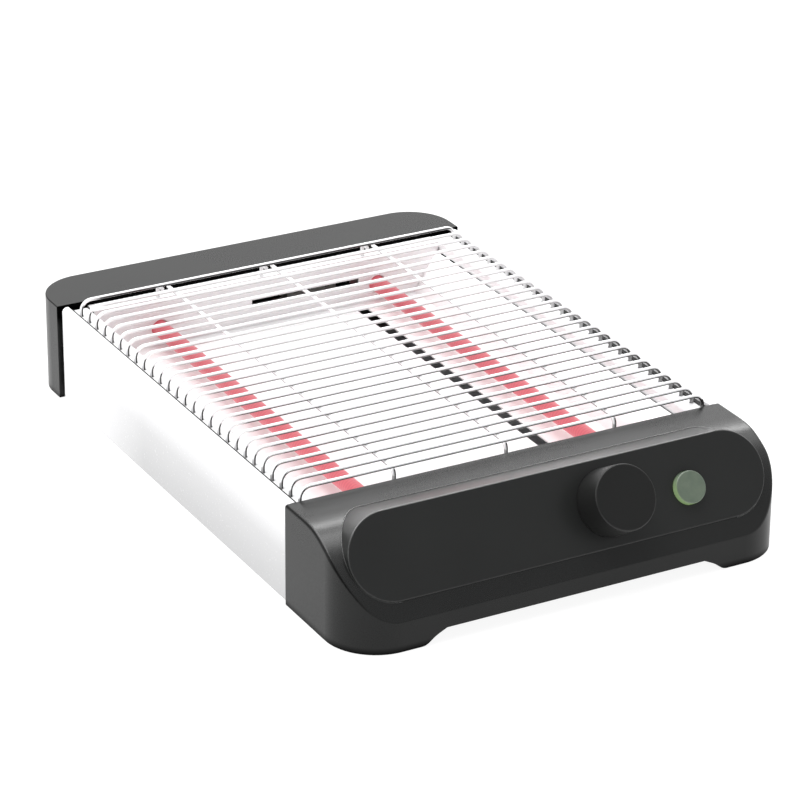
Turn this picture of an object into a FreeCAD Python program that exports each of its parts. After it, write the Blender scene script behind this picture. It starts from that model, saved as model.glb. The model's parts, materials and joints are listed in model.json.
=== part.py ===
import FreeCAD, Part
import math
import os

V = FreeCAD.Vector
os.makedirs("parts", exist_ok=True)

# ---------------------------------------------------------------- dimensions
# While the pieces are built, y = 0 is the back face of the front cap; the
# whole model is then moved by Y_SHIFT so that the origin lies at the bottom
# centre of its box. X runs to the right, Y to the rear, Z up. Millimetres.
CAP_W = 260.0            # width over both end caps
FRONT_D = 71.4           # depth of the front cap at the floor
BODY_L = 282.1           # front cap to rear cap
REAR_D = 37.5            # depth of the rear cap
CAP_H = 56.8             # top of both end caps
CAP_Z0 = 0.4             # underside of the caps, the rubber feet reach z = 0
CAP_T = 2.5              # wall of the caps
CAP_R = 28.3             # plan radius of the front corners
REAR_R = 27.0            # plan radius of the rear corners
ARCH_Z = 7.8             # underside of the caps between their feet
ARCH_X0, ARCH_X1 = 76.2, 90.5   # foot curve: from the arch to the floor

PANEL_X = 128.2          # outer face of the side panels
PANEL_T = 1.2
PANEL_Z0 = 0.8
PANEL_Y1 = 278.7         # rear end of the side panels, short of the rear cap
RIM_Z = 56.9             # top of the rolled rim
RIM_R = 2.8              # outer rounding of the rim
RIM_X = 124.0            # inner face of the rim
GUTTER_Z = 54.0          # flat gutter between the rim and the inner edge
FLANGE_X = 112.0         # inner edge of the gutter
FLANGE_Z = 47.5          # lower end of the inner flange
COLLAR_X = 126.6         # collar of the rear cap, seen in the gap behind the panels

WIRE_N = 27              # cross wires, the last one is the rear border wire
WIRE_Y0 = 2.3
WIRE_P = 10.28           # pitch
WIRE_D = 2.0
WIRE_Z = 63.0            # centre line of the rack
WIRE_X = 120.4           # where the wires go down
WIRE_R = 6.0
WIRE_FOOT = 46.0
LONG_X = (-66.0, 0.0, 66.0)
LONG_D = 2.2

TUBE_X = 70.5            # quartz tubes
TUBE_Z = 35.0
TUBE_D = 9.4
TUBE_Y0, TUBE_Y1 = -8.0, 282.0

REFL_Z = 25.0            # reflector floor
REFL_SLOT_X = 55.6
REFL_SLOT_W = 7.0
REAR_WALL_Y = 272.4      # wall at the rear end of the heating room

FACE_ANG = 58.5          # slope of the control panel from the horizontal
FACE_Y, FACE_Z = -54.1, 45.25   # centre of its face
FACE_A, FACE_H = 122.05, 23.3   # half length and half height
BOSS_ANG = 20.0          # the raised panel runs back and down at this angle
KNOB_X, KNOB_S = 27.0, 0.2
KNOB_R0, KNOB_R1, KNOB_L = 18.0, 17.3, 19.3
KNOB_GAP = 0.4
SHAFT_R = 3.0
BUTTON_X, BUTTON_S = 74.8, -2.3
BUTTON_R, BUTTON_OUT = 8.7, 3.5
BUTTON_TRAVEL = 2.0

TRAY_X = 100.0           # crumb tray
TRAY_Z = 10.9

LEAD_Z = 25.6            # height of the two leads beside the reflector

# ---------------------------------------------------------------- helpers
ta = math.radians(FACE_ANG)
UP = V(0, math.cos(ta), math.sin(ta))          # up the slope
OUT = V(0, -math.sin(ta), math.cos(ta))        # out of the face
FACE_C = V(0, FACE_Y, FACE_Z)
bd = math.radians(BOSS_ANG)
BACK = V(0, math.cos(bd), -math.sin(bd))       # along the walls of the boss


def on_face(x, s, d=0.0):
    """Point on the panel face: x across, s up the slope, d inwards."""
    return FACE_C + V(x, 0, 0) + UP * s - OUT * d


def box(x0, x1, y0, y1, z0, z1):
    return Part.makeBox(x1 - x0, y1 - y0, z1 - z0, V(x0, y0, z0))


def fuse(shapes):
    r = shapes[0]
    if len(shapes) > 1:
        r = r.multiFuse(shapes[1:])
    return r.removeSplitter()


def poly_face(pts):
    return Part.Face(Part.makePolygon(pts + [pts[0]]))


def stadium(a, h, d=0.0):
    """Stadium outline on the panel face, d inwards."""
    c = a - h
    p = lambda x, s: on_face(x, s, d)
    e = [Part.LineSegment(p(-c, h), p(c, h)).toShape(),
         Part.Arc(p(c, h), p(a, 0), p(c, -h)).toShape(),
         Part.LineSegment(p(c, -h), p(-c, -h)).toShape(),
         Part.Arc(p(-c, -h), p(-a, 0), p(-c, h)).toShape()]
    return Part.Face(Part.Wire(e))


def plan(x, y0, y1, r, front, z0, z1):
    """Prism with two rounded plan corners, at the front or at the rear."""
    k = r * (1 - math.sqrt(0.5))
    if front:
        e = [Part.LineSegment(V(-x, y1, z0), V(-x, y0 + r, z0)).toShape(),
             Part.Arc(V(-x, y0 + r, z0), V(-x + k, y0 + k, z0), V(-x + r, y0, z0)).toShape(),
             Part.LineSegment(V(-x + r, y0, z0), V(x - r, y0, z0)).toShape(),
             Part.Arc(V(x - r, y0, z0), V(x - k, y0 + k, z0), V(x, y0 + r, z0)).toShape(),
             Part.LineSegment(V(x, y0 + r, z0), V(x, y1, z0)).toShape(),
             Part.LineSegment(V(x, y1, z0), V(-x, y1, z0)).toShape()]
    else:
        e = [Part.LineSegment(V(x, y0, z0), V(x, y1 - r, z0)).toShape(),
             Part.Arc(V(x, y1 - r, z0), V(x - k, y1 - k, z0), V(x - r, y1, z0)).toShape(),
             Part.LineSegment(V(x - r, y1, z0), V(-x + r, y1, z0)).toShape(),
             Part.Arc(V(-x + r, y1, z0), V(-x + k, y1 - k, z0), V(-x, y1 - r, z0)).toShape(),
             Part.LineSegment(V(-x, y1 - r, z0), V(-x, y0, z0)).toShape(),
             Part.LineSegment(V(-x, y0, z0), V(x, y0, z0)).toShape()]
    return Part.Face(Part.Wire(e)).extrude(V(0, 0, z1 - z0))


def arch(y0, y1):
    """Space under a cap between its feet, with S-shaped ends."""
    z0 = CAP_Z0 - 3
    xm = (ARCH_X0 + ARCH_X1) / 2
    zm = (ARCH_Z + CAP_Z0) / 2

    def side(s):
        pts = [V(s * ARCH_X0, y0, ARCH_Z), V(s * (ARCH_X0 + 1.4), y0, ARCH_Z - 0.7),
               V(s * xm, y0, zm), V(s * (ARCH_X1 - 2.8), y0, CAP_Z0 + 0.6),
               V(s * ARCH_X1, y0, CAP_Z0)]
        b = Part.BSplineCurve()
        b.interpolate(pts)
        return b.toShape()
    e = [side(-1),
         Part.LineSegment(V(-ARCH_X0, y0, ARCH_Z), V(ARCH_X0, y0, ARCH_Z)).toShape(),
         side(1),
         Part.LineSegment(V(ARCH_X1, y0, CAP_Z0), V(ARCH_X1, y0, z0)).toShape(),
         Part.LineSegment(V(ARCH_X1, y0, z0), V(-ARCH_X1, y0, z0)).toShape(),
         Part.LineSegment(V(-ARCH_X1, y0, z0), V(-ARCH_X1, y0, CAP_Z0)).toShape()]
    w = Part.Wire(Part.__sortEdges__(e))
    return Part.Face(w).extrude(V(0, y1 - y0, 0))


def tube_path(edges, r):
    """Round bar along a wire of lines and tangent arcs."""
    w = Part.Wire(edges)
    e0 = w.Edges[0]
    p = e0.valueAt(e0.FirstParameter)
    t = e0.tangentAt(e0.FirstParameter)
    c = Part.Wire(Part.Circle(p, t, r).toShape())
    return w.makePipeShell([c], True, False)


def cyl(r, p0, p1):
    d = p1 - p0
    return Part.makeCylinder(r, d.Length, p0, d)


def compound(solids):
    return Part.makeCompound(solids)


parts = {}

# ---------------------------------------------------------------- front cap
# upper outline of the cap seen from the side: flat, then one falling curve
PROFILE = [(-19.0, 56.8), (-25.5, 56.5), (-31.5, 55.5), (-38.3, 52.8), (-45.0, 49.0),
           (-51.0, 44.0), (-56.4, 38.1), (-62.1, 30.8), (-66.4, 24.3), (-69.2, 20.0), (-71.4, 16.7)]


def cap_profile(dy, dz, x):
    pts = [V(-x, y + dy, z + dz) for y, z in PROFILE]
    b = Part.BSplineCurve()
    b.interpolate(pts, InitialTangent=V(0, -1, 0), FinalTangent=V(0, -0.57, -0.82))
    yb = 30.0
    p_first, p_last = pts[0], pts[-1]
    q = V(-x, p_last.y - 8 * 0.57, p_last.z - 8 * 0.82)
    e = [b.toShape(),
         Part.LineSegment(p_last, q).toShape(),
         Part.LineSegment(q, V(-x, q.y, -20)).toShape(),
         Part.LineSegment(V(-x, q.y, -20), V(-x, yb, -20)).toShape(),
         Part.LineSegment(V(-x, yb, -20), V(-x, yb, CAP_H + dz)).toShape(),
         Part.LineSegment(V(-x, yb, CAP_H + dz), p_first).toShape()]
    w = Part.Wire(Part.__sortEdges__(e))
    return Part.Face(w).extrude(V(2 * x, 0, 0))


cap_outer = plan(CAP_W / 2, -FRONT_D, 0, CAP_R, True, CAP_Z0, 80).common(cap_profile(0, 0, 150))
ridge = []
for ed in cap_outer.Edges:
    bb = ed.BoundBox
    if bb.ZMax > 15 and bb.ZMin > 10 and bb.YMin < -1.0:
        # the edge between the falling curve and the upright walls
        on_wall = True
        for k in range(5):
            p = ed.valueAt(ed.FirstParameter + (ed.LastParameter - ed.FirstParameter) * (k + 0.5) / 5)
            inner_x = abs(p.x) < CAP_W / 2 - 0.01
            x_c, y_c = CAP_W / 2 - CAP_R, -FRONT_D + CAP_R
            if abs(abs(p.x) - CAP_W / 2) < 0.02 or abs(p.y + FRONT_D) < 0.02:
                continue
            if abs(p.x) > x_c and p.y < y_c:
                rr = math.hypot(abs(p.x) - x_c, p.y - y_c)
                if abs(rr - CAP_R) < 0.02:
                    continue
            on_wall = False
        if on_wall and not (abs(bb.YMin - bb.YMax) < 1e-6 and abs(bb.YMin) < 1e-6):
            ridge.append(ed)
try:
    cap_soft = cap_outer.makeFillet(1.6, ridge)
    if not cap_soft.isValid() or cap_soft.Volume < cap_outer.Volume * 0.97:
        raise ValueError("fillet")
    print("ridge fillet on", len(ridge), "edges")
except Exception as err:
    print("ridge fillet left out:", err, len(ridge))
    cap_soft = cap_outer
cap_in = plan(CAP_W / 2 - CAP_T, -FRONT_D + CAP_T, 2, CAP_R - CAP_T, True, ARCH_Z + CAP_T, 80)
cap_in = cap_in.common(cap_profile(2.2, -2.5, 150))
front = cap_soft.cut(cap_in).cut(arch(-FRONT_D - 2, 2))
# opening behind the control panel
front = front.cut(stadium(FACE_A - 7, FACE_H - 7, -6).extrude(BACK * 34))
# feet are cored from below, with a round boss for the rubber foot
FOOT_F = [(-111.0, -37.0), (111.0, -37.0)]
FOOT_R = [(-111.0, BODY_L + 17.0), (111.0, BODY_L + 17.0)]
for fx, fy in FOOT_F:
    core = box(fx - 14.5, fx + 16, fy - 31, fy + 33, CAP_Z0 - 1, ARCH_Z - 0.4)
    core = core.common(plan(CAP_W / 2 - 3, -FRONT_D + 3, 0, CAP_R - 3, True, -5, 40))
    core = core.cut(Part.makeCylinder(9.0, 20, V(fx, fy, -2)))
    front = front.cut(core)
    front = front.cut(Part.makeCylinder(7.3, 3.2, V(fx, fy, -1)))
    front = front.cut(Part.makeCylinder(2.1, 8, V(fx, fy, CAP_Z0)))
# screw holes in the cap's floor for the base plate
for sx in (-55.0, 55.0):
    front = front.cut(Part.makeCylinder(1.3, 4, V(sx, -6.0, ARCH_Z - 0.5)))
parts["front_cap"] = front

# ---------------------------------------------------------------- control panel
boss = stadium(FACE_A, FACE_H).extrude(BACK * 42)
face_edges = []
for ed in boss.Edges:
    ok = True
    for k in range(3):
        p = ed.valueAt(ed.FirstParameter + (ed.LastParameter - ed.FirstParameter) * (k + 0.5) / 3)
        if abs((p - FACE_C).dot(OUT)) > 1e-3:
            ok = False
    if ok:
        face_edges.append(ed)
try:
    boss_r = boss.makeFillet(0.9, face_edges)
    if not boss_r.isValid():
        raise ValueError("fillet")
except Exception as err:
    print("panel fillet left out:", err)
    boss_r = boss
panel = boss_r.cut(cap_outer)
panel = panel.cut(box(-200, 200, -26.0, 60, 0, CAP_H)).cut(box(-200, 200, -5, 60, 0, 100))
panel = panel.cut(stadium(FACE_A - 2.4, FACE_H - 2.4, 2.4).extrude(BACK * 60))
# posts that carry the bracket of the timer
for px in (-21.0, 21.0):
    panel = panel.fuse(cyl(2.4, on_face(KNOB_X + px, 0, 1.6), on_face(KNOB_X + px, 0, 6.5)))
panel = panel.cut(cyl(4.0, on_face(KNOB_X, KNOB_S, -2), on_face(KNOB_X, KNOB_S, 8)))
panel = panel.cut(cyl(BUTTON_R + 0.35, on_face(BUTTON_X, BUTTON_S, -2), on_face(BUTTON_X, BUTTON_S, 8)))
panel = panel.removeSplitter()
sol = sorted(panel.Solids, key=lambda s: -s.Volume)
print("panel solids", [round(s.Volume, 1) for s in sol])
parts["control_panel"] = sol[0]

# ---------------------------------------------------------------- timer knob and timer
kb = on_face(KNOB_X, KNOB_S, -KNOB_GAP)
knob = Part.makeCone(KNOB_R0, KNOB_R1, KNOB_L, kb, OUT)
rim = [e for e in knob.Edges if e.Length > 20 and
       abs((e.CenterOfMass - kb).dot(OUT) - KNOB_L) < 0.1 and e.Closed]
try:
    knob = knob.makeFillet(0.9, rim)
except Exception as err:
    print("knob fillet left out:", err)
hollow = Part.makeCylinder(KNOB_R1 - 2.0, KNOB_L - 2.6, kb - OUT * 0.01, OUT)
hollow = hollow.cut(Part.makeCylinder(6.0, KNOB_L, kb - OUT * 1, OUT))
knob = knob.cut(hollow)
bore = Part.makeCylinder(SHAFT_R + 0.03, 13.0, kb - OUT * 0.01, OUT)
knob = knob.cut(bore)
parts["timer_knob"] = knob
parts["timer_shaft"] = cyl(SHAFT_R, on_face(KNOB_X, KNOB_S, 12.0), kb + OUT * 12.6)

frame_m = FreeCAD.Matrix(1, 0, 0, 0, 0, UP.y, OUT.y, 0, 0, UP.z, OUT.z, 0, 0, 0, 0, 1)


def face_box(x0, x1, s0, s1, d0, d1):
    """Box in the panel's own directions, d inwards."""
    b = Part.makeBox(x1 - x0, s1 - s0, d1 - d0)
    b.translate(V(x0, s0, -d1))
    b = b.transformGeometry(frame_m)
    b.translate(FACE_C)
    return b


timer = face_box(KNOB_X - 18, KNOB_X + 18, -15, 15, 8.0, 27.0)
timer = timer.fuse(cyl(5.0, on_face(KNOB_X, KNOB_S, 3.4), on_face(KNOB_X, KNOB_S, 8.5)))
timer = timer.cut(cyl(SHAFT_R + 0.05, on_face(KNOB_X, KNOB_S, 0), on_face(KNOB_X, KNOB_S, 14.0)))
parts["timer_body"] = timer.removeSplitter()
plate = face_box(KNOB_X - 24, KNOB_X + 24, -12, 12, 6.6, 8.0)
plate = plate.cut(cyl(5.15, on_face(KNOB_X, KNOB_S, 3), on_face(KNOB_X, KNOB_S, 9)))
parts["timer_bracket"] = plate

# ---------------------------------------------------------------- lit push button
b_in = 8.0
lens = cyl(BUTTON_R, on_face(BUTTON_X, BUTTON_S, b_in), on_face(BUTTON_X, BUTTON_S, -BUTTON_OUT))
top = [e for e in lens.Edges if e.Closed and abs((e.CenterOfMass - FACE_C).dot(OUT) - BUTTON_OUT) < 0.1]
try:
    lens = lens.makeFillet(0.8, top)
except Exception as err:
    print("lens fillet left out:", err)
lens = lens.cut(cyl(BUTTON_R - 2.0, on_face(BUTTON_X, BUTTON_S, b_in + 1), on_face(BUTTON_X, BUTTON_S, -BUTTON_OUT + 2.0)))
parts["switch_button"] = lens
sw = face_box(BUTTON_X - 12, BUTTON_X + 12, BUTTON_S - 10, BUTTON_S + 10, 11.0, 25.0)
sw = sw.fuse(cyl(12.0, on_face(BUTTON_X, BUTTON_S, 2.6), on_face(BUTTON_X, BUTTON_S, 11.5)))
sw = sw.cut(cyl(BUTTON_R + 0.35, on_face(BUTTON_X, BUTTON_S, 1), on_face(BUTTON_X, BUTTON_S, 11.0)))
parts["switch_body"] = sw.removeSplitter()
lamp = cyl(2.6, on_face(BUTTON_X, BUTTON_S, 11.0), on_face(BUTTON_X, BUTTON_S, 4.0))
lamp = lamp.fuse(Part.makeSphere(2.6, on_face(BUTTON_X, BUTTON_S, 4.0)))
parts["pilot_lamp"] = lamp.removeSplitter()

# ---------------------------------------------------------------- rear cap
y0r, y1r = BODY_L, BODY_L + REAR_D
rear_o = plan(CAP_W / 2, y0r, y1r, REAR_R, False, CAP_Z0, CAP_H)
tops = [e for e in rear_o.Edges if abs(e.BoundBox.ZMin - CAP_H) < 1e-3 and e.BoundBox.YMax > y0r + 1]
try:
    rear_s = rear_o.makeFillet(0.7, tops)
    if not rear_s.isValid():
        raise ValueError("fillet")
except Exception as err:
    print("rear fillet left out:", err)
    rear_s = rear_o
rear_i = plan(CAP_W / 2 - CAP_T, y0r + 2.0, y1r - CAP_T, REAR_R - CAP_T, False, ARCH_Z + CAP_T, CAP_H - CAP_T)
# collar that stands in the gap behind the side panels, and the opening through it
collar = box(-COLLAR_X, COLLAR_X, PANEL_Y1 + 0.4, y0r + 1.0, 2.0, 52.7)
rear = rear_s.fuse(collar).cut(rear_i)
rear = rear.cut(box(-COLLAR_X + 2.2, COLLAR_X - 2.2, y0r - 6, y0r + 3, ARCH_Z + CAP_T, 50.5))
rear = rear.cut(arch(y0r - 6, y1r + 2))
rear = rear.cut(box(-COLLAR_X + 2.2, COLLAR_X - 2.2, y0r - 6, y0r, 0, ARCH_Z + CAP_T)).removeSplitter()
# window of the crumb tray and hole of the inlet bush
TRAY_WIN = 14.0
rear = rear.cut(box(-TRAY_X - 1.4, TRAY_X + 1.4, y1r - 6, y1r + 2, ARCH_Z + CAP_T - 0.3, TRAY_Z + TRAY_WIN))
BUSH_X, BUSH_Z = 78.0, 39.0
rear = rear.cut(cyl(6.2, V(BUSH_X, y1r - 6, BUSH_Z), V(BUSH_X, y1r + 2, BUSH_Z)))
for fx, fy in FOOT_R:
    core = box(fx - 14.5, fx + 14.5, fy - 14, fy + 14, CAP_Z0 - 1, ARCH_Z - 0.4)
    core = core.common(plan(CAP_W / 2 - 3, y0r, y1r - 3, REAR_R - 3, False, -5, 40))
    core = core.cut(Part.makeCylinder(9.0, 20, V(fx, fy, -2)))
    rear = rear.cut(core)
    rear = rear.cut(Part.makeCylinder(7.3, 3.2, V(fx, fy, -1)))
    rear = rear.cut(Part.makeCylinder(2.1, 8, V(fx, fy, CAP_Z0)))
for sx in (-55.0, 55.0):
    rear = rear.cut(Part.makeCylinder(1.3, 4, V(sx, y0r + 6.0, ARCH_Z - 0.5)))
parts["rear_cap"] = rear

bush = cyl(9.0, V(BUSH_X, y1r, BUSH_Z), V(BUSH_X, y1r + 0.0001 + 2.2, BUSH_Z))
bush = bush.fuse(cyl(6.1, V(BUSH_X, y1r - 8, BUSH_Z), V(BUSH_X, y1r + 1, BUSH_Z)))
bush = bush.fuse(cyl(8.2, V(BUSH_X, y1r - 5.2, BUSH_Z), V(BUSH_X, y1r - CAP_T, BUSH_Z)))
bush = bush.cut(cyl(3.6, V(BUSH_X, y1r - 12, BUSH_Z), V(BUSH_X, y1r + 6, BUSH_Z)))
parts["cord_inlet_bush"] = bush.removeSplitter()

# ---------------------------------------------------------------- rubber feet
feet = []
for fx, fy in FOOT_F + FOOT_R:
    f = Part.makeCylinder(7.2, 2.1, V(fx, fy, 0))
    f = f.makeFillet(0.6, [e for e in f.Edges if e.Closed and abs(e.BoundBox.ZMax) < 1e-3])
    f = f.fuse(Part.makeCylinder(2.0, 6.5, V(fx, fy, 1.5)))
    feet.append(f.removeSplitter())
parts["rubber_feet"] = compound(feet)

# ---------------------------------------------------------------- side panels


def side_panel(s):
    xo, t, r = PANEL_X, PANEL_T, RIM_R
    zt, zg = RIM_Z, GUTTER_Z
    h = math.sqrt(0.5)
    cx, cz = xo - r, zt - r            # centre of the outer rounding
    q = 0.7                            # small inner rounding of the rim
    p = lambda x, z: V(s * x, 0, z)
    line = lambda a, b: Part.LineSegment(p(*a), p(*b)).toShape()

    def bend(c, a0, a1, rad):
        at = lambda g: p(c[0] + rad * math.cos(math.radians(g)), c[1] + rad * math.sin(math.radians(g)))
        return Part.Arc(at(a0), at((a0 + a1) / 2), at(a1)).toShape()
    e = [line((xo, PANEL_Z0), (xo, cz)),
         bend((cx, cz), 0, 90, r),
         line((cx, zt), (RIM_X + q, zt)),
         bend((RIM_X + q, zt - q), 90, 180, q),
         line((RIM_X, zt - q), (RIM_X, zg)),
         line((RIM_X, zg), (FLANGE_X + 1.5, zg)),
         bend((FLANGE_X + 1.5, zg - 1.5), 90, 180, 1.5),
         line((FLANGE_X, zg - 1.5), (FLANGE_X, FLANGE_Z)),
         line((FLANGE_X, FLANGE_Z), (FLANGE_X + t, FLANGE_Z)),
         line((FLANGE_X + t, FLANGE_Z), (FLANGE_X + t, zg - t - 0.3)),
         bend((FLANGE_X + t + 0.3, zg - t - 0.3), 180, 90, 0.3),
         line((FLANGE_X + t + 0.3, zg - t), (RIM_X + t, zg - t)),
         line((RIM_X + t, zg - t), (RIM_X + t, zt - t)),
         line((RIM_X + t, zt - t), (cx, zt - t)),
         bend((cx, cz), 90, 0, r - t),
         line((xo - t, cz), (xo - t, PANEL_Z0)),
         line((xo - t, PANEL_Z0), (xo, PANEL_Z0))]
    a = Part.Face(Part.Wire(e)).extrude(V(0, PANEL_Y1 - 0.2, 0))
    a.translate(V(0, 0.2, 0))
    holes = [Part.makeCylinder(WIRE_D / 2 + 0.3, 6, V(s * WIRE_X, WIRE_Y0 + WIRE_P * i, zg - 4))
             for i in range(WIRE_N)]
    return a.cut(compound(holes))


parts["left_side_panel"] = side_panel(-1)
parts["right_side_panel"] = side_panel(1)
# dark sealing strips that lie in the gutters against the rims
for s, nm in ((-1, "left"), (1, "right")):
    lo, hi = sorted((s * (WIRE_X + WIRE_D / 2 + 0.25), s * (RIM_X - 0.15)))
    parts[nm + "_rim_strip"] = box(lo, hi, 0.6, PANEL_Y1 - 0.4, GUTTER_Z + 0.02, GUTTER_Z + 0.8)

# ---------------------------------------------------------------- base plate
BP_Z0, BP_T = 6.5, 1.2
base = box(-126.7, 126.7, 0.3, PANEL_Y1 - 0.1, BP_Z0, BP_Z0 + BP_T)
base = base.fuse(box(-70, 70, -12, 1, BP_Z0, BP_Z0 + BP_T))
base = base.fuse(box(-70, 70, PANEL_Y1 - 1, BODY_L + 12, BP_Z0, BP_Z0 + BP_T))
for sx in (-55.0, 55.0):
    for sy in (-6.0, BODY_L + 6.0):
        base = base.cut(Part.makeCylinder(1.7, 4, V(sx, sy, BP_Z0 - 1)))
# cooling louvres
for i in range(7):
    for sx in (-72.0, 0.0, 72.0):
        y = 60.0 + i * 26.0
        base = base.cut(box(sx - 22, sx + 22, y, y + 3.0, BP_Z0 - 1, BP_Z0 + 2))
parts["base_plate"] = base.removeSplitter()

screws = []
for sx in (-55.0, 55.0):
    for sy in (-6.0, BODY_L + 6.0):
        h = Part.makeCylinder(2.8, 1.6, V(sx, sy, BP_Z0 - 1.6))
        h = h.cut(box(sx - 0.4, sx + 0.4, sy - 1.8, sy + 1.8, BP_Z0 - 2.0, BP_Z0 - 0.9))
        h = h.cut(box(sx - 1.8, sx + 1.8, sy - 0.4, sy + 0.4, BP_Z0 - 2.0, BP_Z0 - 0.9))
        h = h.fuse(Part.makeCylinder(1.25, 3.8, V(sx, sy, BP_Z0 - 0.3)))
        screws.append(h.removeSplitter())
parts["base_screws"] = compound(screws)

# ---------------------------------------------------------------- bulkheads
HOLE_R = TUBE_D / 2 + 0.8
fb = box(-121.5, 121.5, 0.6, 1.6, 8.6, 51.0)
fb = fb.fuse(box(-110.5, 110.5, 0.6, 8.6, 50.0, 51.0))
for s in (-1, 1):
    fb = fb.cut(cyl(HOLE_R, V(s * TUBE_X, -2, TUBE_Z), V(s * TUBE_X, 4, TUBE_Z)))
for x in LONG_X:
    fb = fb.cut(Part.makeCylinder(1.35, 6, V(x, 3.3, 47)))
fb = fb.cut(box(-120.0, -111.0, 0, 3, LEAD_Z - 4, LEAD_Z + 4))
for s in (-1, 1):
    lo, hi = sorted((s * 111.4, s * 125.0))
    fb = fb.cut(box(lo, hi, 0, 10, 45.0, 60.0))
parts["front_bulkhead"] = fb.removeSplitter()

rb = box(-111.0, 111.0, REAR_WALL_Y, REAR_WALL_Y + 1.0, 20.6, 53.9)
rb = rb.fuse(box(-111.0, 111.0, REAR_WALL_Y, BODY_L - 0.3, 52.9, 53.9))
for s in (-1, 1):
    rb = rb.cut(cyl(HOLE_R, V(s * TUBE_X, REAR_WALL_Y - 2, TUBE_Z), V(s * TUBE_X, REAR_WALL_Y + 3, TUBE_Z)))
# long opening through which the link between the tubes passes
rb = rb.cut(box(-12.0, 58.0, REAR_WALL_Y - 1, REAR_WALL_Y + 2, 36.0, 41.2))
for x in LONG_X:
    rb = rb.cut(Part.makeCylinder(1.35, 6, V(x - 4.6, REAR_WALL_Y + 2.4, 50)))
parts["rear_bulkhead"] = rb.removeSplitter()

# ---------------------------------------------------------------- reflector
ry0, ry1 = 1.9, REAR_WALL_Y - 0.3
rt = 0.8
xf, xt, zt = 96.0, 110.4, 48.5
pts = [(-xt, zt), (-xf, REFL_Z), (xf, REFL_Z), (xt, zt), (xt - rt, zt), (xf - 0.55, REFL_Z + rt),
       (-xf + 0.55, REFL_Z + rt), (-xt + rt, zt)]
refl = poly_face([V(x, 0, z - rt) for x, z in pts]).extrude(V(0, ry1 - ry0, 0))
refl.translate(V(0, ry0, 0))
# one long vent, on the right of the middle
for c in (REFL_SLOT_X,):
    refl = refl.cut(box(c - REFL_SLOT_W / 2, c + REFL_SLOT_W / 2, 9.0, REAR_WALL_Y - 9.0, REFL_Z - 4, REFL_Z + 4))
parts["reflector_tray"] = refl

# ---------------------------------------------------------------- quartz tubes
for s, nm in ((-1, "left"), (1, "right")):
    a, b = V(s * TUBE_X, TUBE_Y0, TUBE_Z), V(s * TUBE_X, TUBE_Y1, TUBE_Z)
    parts["quartz_tube_" + nm] = cyl(TUBE_D / 2, a, b).cut(cyl(TUBE_D / 2 - 1.1, a - V(0, 1, 0), b + V(0, 1, 0)))
    parts["heating_coil_" + nm] = cyl(3.3, a + V(0, 4, 0), b - V(0, 4, 0)).cut(
        cyl(2.6, a, b))

caps = []
for s in (-1, 1):
    for y, d in ((TUBE_Y0, -1), (TUBE_Y1, 1)):
        c = cyl(7.2, V(s * TUBE_X, y + d * 5.0, TUBE_Z), V(s * TUBE_X, y - d * 5.0, TUBE_Z))
        c = c.cut(cyl(TUBE_D / 2 + 0.05, V(s * TUBE_X, y, TUBE_Z), V(s * TUBE_X, y - d * 6.0, TUBE_Z)))
        c = c.cut(cyl(1.6, V(s * TUBE_X, y + d * 7.0, TUBE_Z), V(s * TUBE_X, y - d * 1.0, TUBE_Z)))
        caps.append(c)
parts["tube_end_caps"] = compound(caps)

hold = []
for s in (-1, 1):
    x = s * TUBE_X
    # front holder hangs on the front bulkhead, rear one on the rear bulkhead
    h = box(x - 13, x + 13, -9.0, -8.0, 20.0, 48.0)
    h = h.fuse(box(x - 13, x + 13, -9.0, 0.5, 47.0, 48.0))
    h = h.fuse(box(x - 13, x + 13, -0.5, 0.5, 44.0, 48.0))
    h = h.cut(cyl(7.3, V(x, -12, TUBE_Z), V(x, -6, TUBE_Z)))
    hold.append(h.removeSplitter())
    yr = TUBE_Y1 + 0.5
    h = box(x - 13, x + 13, yr, yr + 1.0, 21.0, 45.6)
    h = h.fuse(box(x - 13, x + 13, REAR_WALL_Y + 1.1, yr + 1.0, 44.6, 45.6))
    h = h.fuse(box(x - 13, x + 13, REAR_WALL_Y + 1.1, REAR_WALL_Y + 2.1, 42.5, 45.6))
    h = h.cut(cyl(7.3, V(x, yr - 2, TUBE_Z), V(x, yr + 3, TUBE_Z)))
    hold.append(h.removeSplitter())
parts["tube_holders"] = compound(hold)

# ---------------------------------------------------------------- wire rack


def cross_wire(y, r):
    x, z, R, z0 = WIRE_X, WIRE_Z, WIRE_R, WIRE_FOOT
    q = R * (1 - math.sqrt(0.5))
    e = [Part.LineSegment(V(-x, y, z0), V(-x, y, z - R)).toShape(),
         Part.Arc(V(-x, y, z - R), V(-x + q, y, z - q), V(-x + R, y, z)).toShape(),
         Part.LineSegment(V(-x + R, y, z), V(x - R, y, z)).toShape(),
         Part.Arc(V(x - R, y, z), V(x - q, y, z - q), V(x, y, z - R)).toShape(),
         Part.LineSegment(V(x, y, z - R), V(x, y, z0)).toShape()]
    return tube_path(e, r)


one = cross_wire(0, WIRE_D / 2)
wires = []
for i in range(WIRE_N - 1):
    c = one.copy()
    c.translate(V(0, WIRE_Y0 + WIRE_P * i, 0))
    wires.append(c)
parts["rack_cross_wires"] = compound(wires)
yb = WIRE_Y0 + WIRE_P * (WIRE_N - 1)
border = cross_wire(yb, WIRE_D / 2)
parts["rack_border_wire"] = border

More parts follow.
